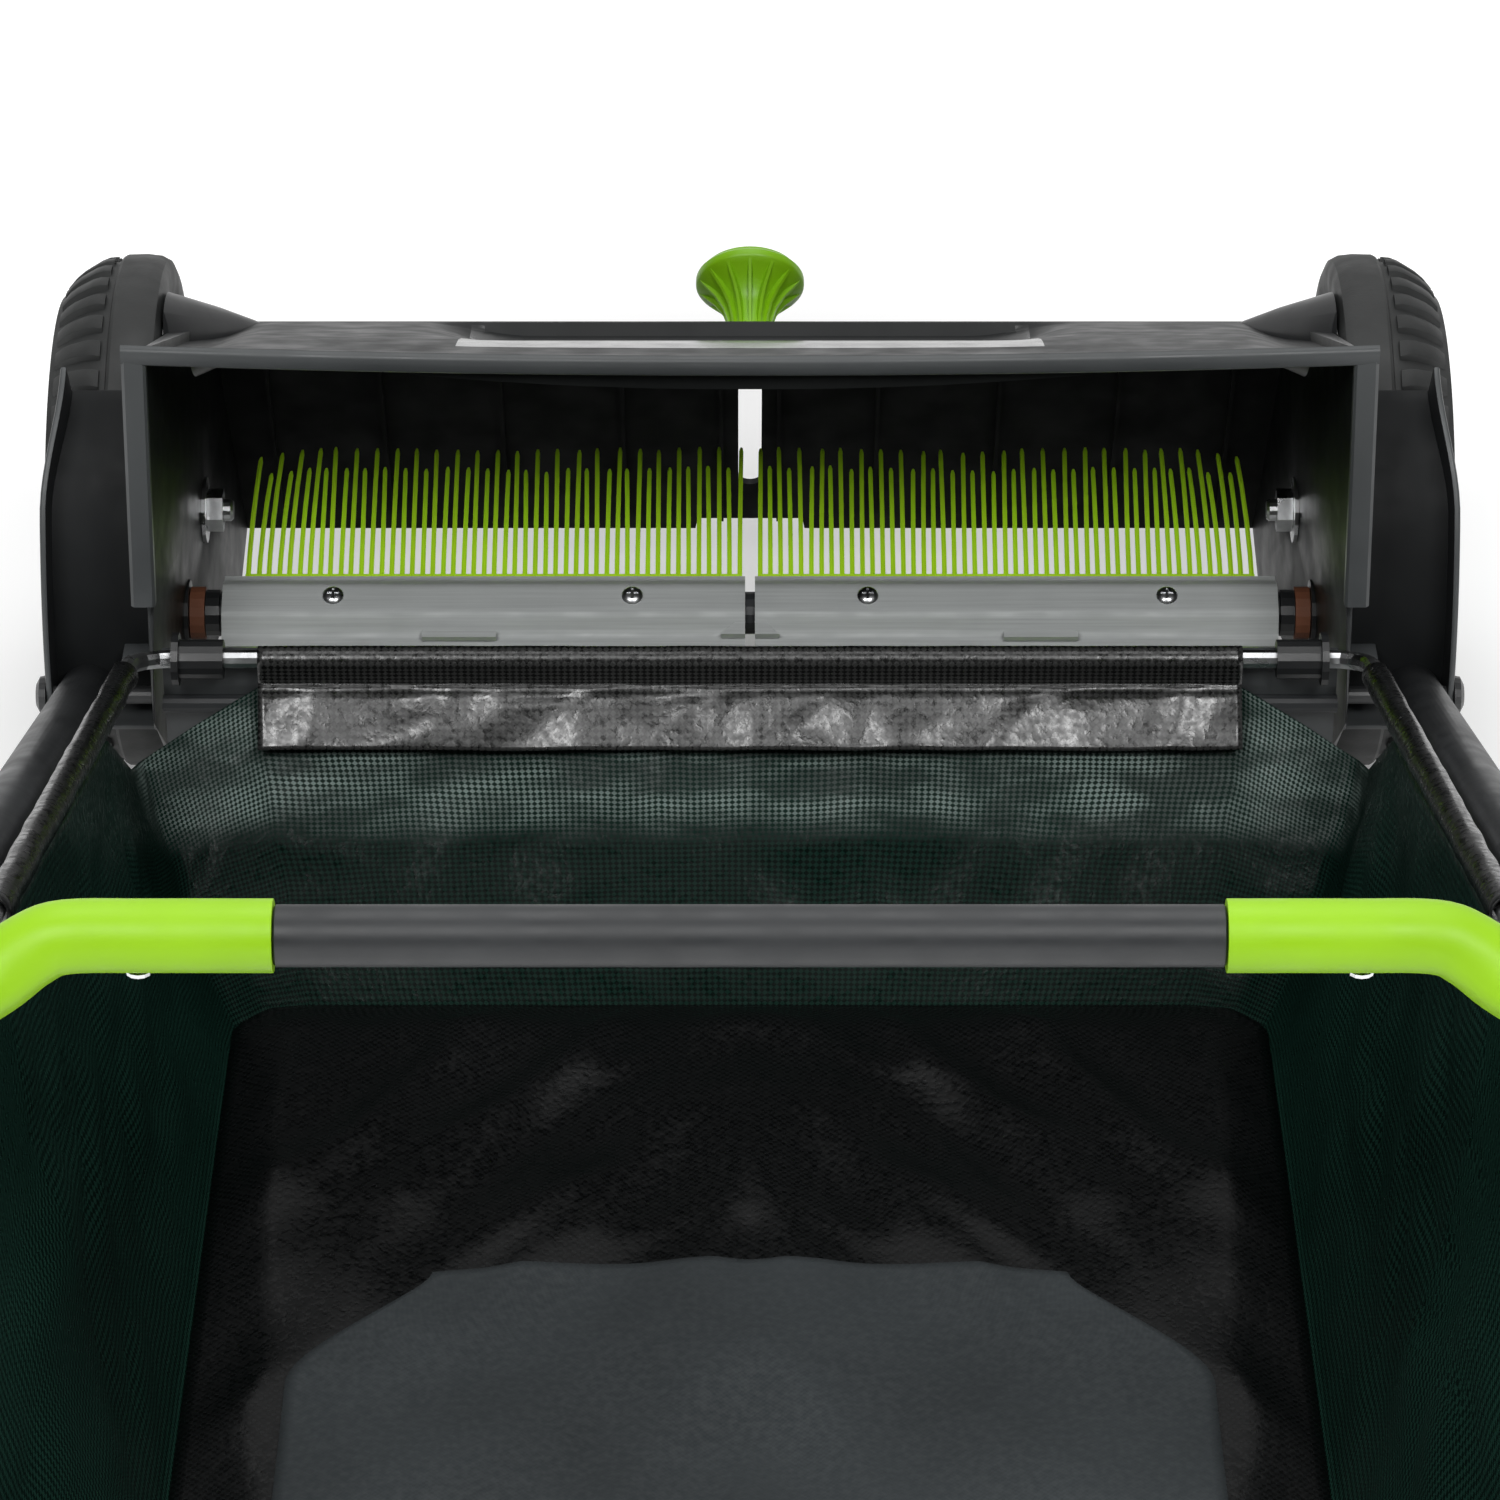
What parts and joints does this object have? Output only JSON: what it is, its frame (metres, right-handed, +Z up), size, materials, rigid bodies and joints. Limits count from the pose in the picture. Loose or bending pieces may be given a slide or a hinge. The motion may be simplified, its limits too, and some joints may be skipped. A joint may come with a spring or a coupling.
{
  "type": "push lawn sweeper",
  "caption": "Walk-behind lawn sweeper: wheel-driven rotary brush under a hood, push handle, hung collection bag and front height adjuster.",
  "frame": {"origin": "on the floor, midway between the front foot of the hood and the rear of the handle, on the centre plane", "axes": "+X to the right when pushing, +Y the way it is pushed, +Z up"},
  "size_m": [0.6226, 0.9584, 0.3809],
  "materials": {
    "black_plastic": "moulded, lightly textured",
    "tyre_rubber": "moulded tread",
    "lime_plastic": "satin moulded",
    "lime_bristle": "drawn filament",
    "black_tube": "powder coat",
    "grey_steel": "galvanised sheet",
    "fibre": "pressed fibre",
    "woven_cloth": "coated woven tape cloth",
    "zinc_steel": "zinc plated"
  },
  "bodies": {
    "hood": {"hood_shell": "black_plastic", "lower_stay": "black_tube", "rear_pan": "black_plastic", "left_guard": "black_plastic", "right_guard": "black_plastic", "left_axle": "zinc_steel", "right_axle": "zinc_steel", "left_axle_nut": "zinc_steel", "right_axle_nut": "zinc_steel", "left_axle_washer": "zinc_steel", "right_axle_washer": "zinc_steel", "left_brush_bush": "black_plastic", "right_brush_bush": "black_plastic", "left_rod_clip": "black_plastic", "right_rod_clip": "black_plastic", "left_pivot_bolt": "zinc_steel", "right_pivot_bolt": "zinc_steel"},
    "left_wheel": {"left_tyre": "tyre_rubber", "left_rim": "black_plastic", "left_ring_gear": "black_plastic", "left_hub_cap": "lime_plastic"},
    "right_wheel": {"right_tyre": "tyre_rubber", "right_rim": "black_plastic", "right_ring_gear": "black_plastic", "right_hub_cap": "lime_plastic"},
    "brush": {"brush_shaft": "black_tube", "left_upper_clamp_plate": "grey_steel", "right_upper_clamp_plate": "grey_steel", "left_lower_clamp_plate": "grey_steel", "right_lower_clamp_plate": "grey_steel", "left_front_bristles": "lime_bristle", "right_front_bristles": "lime_bristle", "left_rear_bristles": "lime_bristle", "right_rear_bristles": "lime_bristle", "left_shaft_collar": "black_plastic", "right_shaft_collar": "black_plastic", "left_fibre_washer": "fibre", "right_fibre_washer": "fibre", "left_pinion": "black_plastic", "right_pinion": "black_plastic", "left_plate_screw_1": "zinc_steel", "right_plate_screw_1": "zinc_steel", "left_plate_screw_2": "zinc_steel", "right_plate_screw_2": "zinc_steel"},
    "handle": {"crossbar": "black_tube", "left_handle_tube": "black_tube", "right_handle_tube": "black_tube", "left_corner_joint": "lime_plastic", "right_corner_joint": "lime_plastic", "left_joint_screw": "zinc_steel", "right_joint_screw": "zinc_steel"},
    "bag": {"bag_rod_frame": "zinc_steel", "bag": "woven_cloth", "left_rod_hook": "black_plastic", "right_rod_hook": "black_plastic"},
    "carriage": {"height_carriage": "black_plastic", "left_skid": "black_plastic", "right_skid": "black_plastic", "clamp_bolt": "zinc_steel"},
    "knob": {"knob": "lime_plastic"}
  },
  "joints": [
    {"name": "left_wheel_spin", "type": "hinge", "parent": "hood", "child": "left_wheel", "pos_m": [-0.29, 0.35419, 0.116], "axis": [1, 0, 0], "continuous": true},
    {"name": "right_wheel_spin", "type": "hinge", "parent": "hood", "child": "right_wheel", "pos_m": [0.29, 0.35419, 0.116], "axis": [1, 0, 0], "continuous": true},
    {"name": "brush_spin", "type": "hinge", "parent": "hood", "child": "brush", "pos_m": [0, 0.29367, 0.09516], "axis": [1, 0, 0], "continuous": true},
    {"name": "handle_fold", "type": "hinge", "parent": "hood", "child": "handle", "pos_m": [0, 0.21505, 0.09645], "axis": [-1, 0, 0], "range_deg": [0, 65]},
    {"name": "bag_tilt", "type": "hinge", "parent": "hood", "child": "bag", "pos_m": [0, 0.18918, 0.1281], "axis": [-1, 0, 0], "range_deg": [0, 70]},
    {"name": "height_slide", "type": "slide", "parent": "hood", "child": "carriage", "axis": [0, 0.4841, -0.875], "range_m": [0, 0.06]},
    {"name": "knob_turn", "type": "hinge", "parent": "carriage", "child": "knob", "pos_m": [0, 0.41419, 0.16287], "axis": [0, 0.875, 0.4841], "range_deg": [0, 360]}
  ],
  "couplings": [
    {"joint": "right_wheel_spin", "follows": "left_wheel_spin", "ratio": 1},
    {"joint": "brush_spin", "follows": "left_wheel_spin", "ratio": 4.2}
  ]
}
